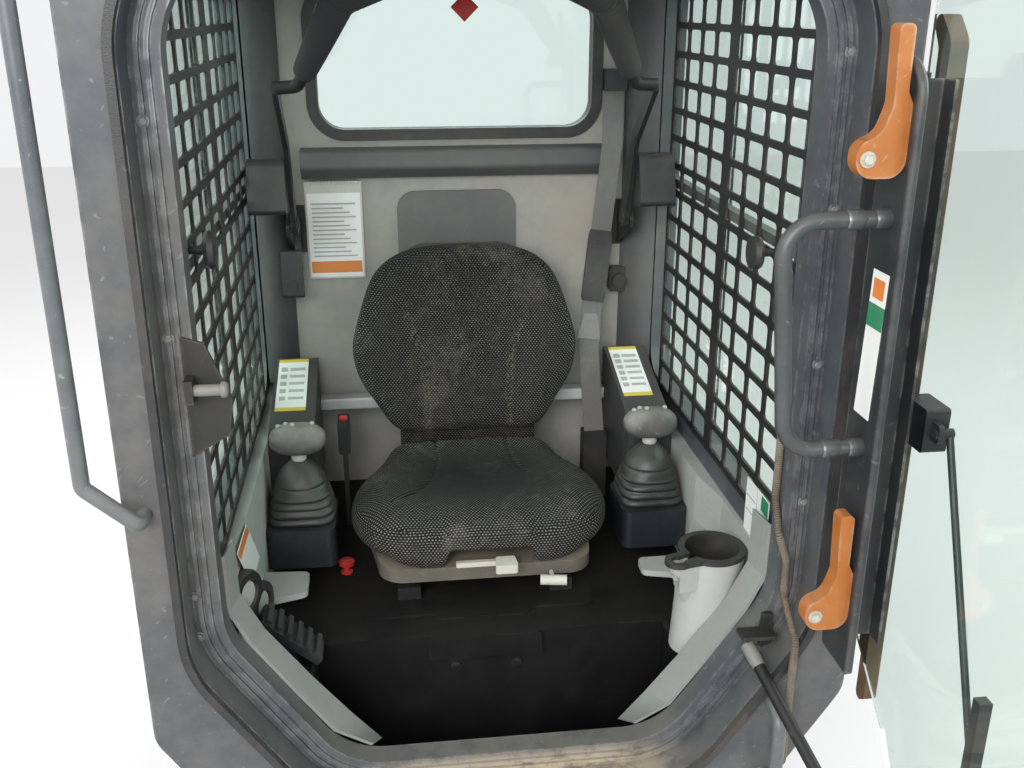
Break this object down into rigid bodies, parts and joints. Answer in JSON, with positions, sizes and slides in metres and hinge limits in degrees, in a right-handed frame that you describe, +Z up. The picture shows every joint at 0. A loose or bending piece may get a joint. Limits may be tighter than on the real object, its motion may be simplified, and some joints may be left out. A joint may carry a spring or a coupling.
{
  "type": "skid steer loader operator cab",
  "caption": "Enclosed loader cab with glazed front door held open by a gas strut, padded seat, two control sticks, restraint bar, side guards and footwell.",
  "frame": {"origin": "underside of the footwell floor, on the cab's centre plane and 100 mm in front of the seat box", "axes": "+X to the door hinge side, +Y to the rear of the cab, +Z up"},
  "size_m": [1.163, 2.114, 1.59],
  "materials": {
    "cab_frame_paint": "dark grey coat, scuffed",
    "ring_paint": "slate grey coat, worn at the sill",
    "black_metal": "black coat",
    "seal_rubber": "matt black",
    "window_glass": "clear, slightly green",
    "door_glass": "clear, green at the edge",
    "dark_trim": "textured dark grey",
    "sage_trim": "pale grey green, grained",
    "black_plastic": "grained black",
    "seat_pan_paint": "worn grey",
    "seat_fabric": "black weave with light flecks",
    "lever_white": "off-white",
    "bellows_rubber": "dusty black",
    "grip_rubber": "worn dark grey",
    "belt_fabric": "dark webbing",
    "belt_hardware": "black",
    "grab_paint": "grey coat, rubbed bare in places",
    "handle_steel": "grey coat, rubbed shiny",
    "lever_orange": "orange, semi-matt",
    "foam": "dusty dark foam",
    "paper": "aged card",
    "loom": "brown ribbed conduit",
    "strut_black": "gloss black",
    "strut_steel": "bright"
  },
  "bodies": {
    "cab": {"side_frame_left": "cab_frame_paint", "side_frame_right": "cab_frame_paint", "rear_wall": "cab_frame_paint", "roof_panel": "cab_frame_paint", "base_rails": "cab_frame_paint", "door_ring": "ring_paint", "door_striker": "ring_paint", "mesh_guard_left": "black_metal", "mesh_guard_right": "black_metal", "bar_brackets": "black_metal", "hinge_brackets": "black_metal", "strut_bracket": "black_metal", "footwell_tub": "black_metal", "seat_box": "black_metal", "service_lid": "black_metal", "seat_rails": "black_metal", "door_seal": "seal_rubber", "rear_window_seal": "seal_rubber", "side_windows": "window_glass", "rear_window": "window_glass", "rear_posts": "dark_trim", "rear_ledge": "dark_trim", "access_panel": "dark_trim", "window_rails": "dark_trim", "corner_trims": "sage_trim", "side_panel_left": "sage_trim", "side_panel_right": "sage_trim", "arm_consoles": "black_plastic", "stick_pods": "black_plastic", "seat_shell": "black_plastic", "cup_liner": "black_plastic", "wall_cases": "black_plastic", "foot_rest": "black_plastic", "seat_pan": "seat_pan_paint", "seat_cushion": "seat_fabric", "seat_back": "seat_fabric", "seat_levers": "lever_white", "stick_bellows": "bellows_rubber", "stick_grips": "grip_rubber", "belt_webbing": "belt_fabric", "belt_guide": "belt_hardware", "belt_buckles": "belt_hardware", "grab_rail_left": "grab_paint", "grab_rail_right": "grab_paint", "booklet": "paper", "wiring_loom": "loom"},
    "door": {"door_pane": "door_glass", "door_strip": "black_plastic", "door_outer_rail": "black_metal", "door_handle": "handle_steel", "release_levers": "lever_orange", "door_latch": "black_plastic", "strut_door_stud": "strut_black", "wiper": "black_plastic"},
    "restraint": {"restraint_bar": "black_metal", "restraint_foam": "foam", "arm_rests": "dark_trim"},
    "strut_tube": {"strut_tube": "strut_black"},
    "strut_rod": {"strut_rod": "strut_steel"}
  },
  "joints": [
    {"name": "door_hinge", "type": "hinge", "parent": "cab", "child": "door", "pos_m": [0.53, -0.245, 0.96], "axis": [0, 0, 1], "range_deg": [-90, 0]},
    {"name": "restraint_hinge", "type": "hinge", "parent": "cab", "child": "restraint", "pos_m": [0, 0.68, 1], "axis": [1, 0, 0], "range_deg": [0, 73]},
    {"name": "strut_hinge", "type": "hinge", "parent": "cab", "child": "strut_tube", "pos_m": [0.395, -0.165, 0.45], "axis": [-0.2126, 0.1685, 0.9625], "range_deg": [-94.5, 0]},
    {"name": "strut_slide", "type": "slide", "parent": "strut_tube", "child": "strut_rod", "axis": [0.2351, -0.8507, -0.4701], "range_m": [-0.176, 0]}
  ],
  "couplings": [
    {"joint": "strut_hinge", "follows": "door_hinge", "ratio": 1.0436},
    {"joint": "strut_slide", "follows": "door_hinge", "m_per_rad": 0.11139}
  ]
}
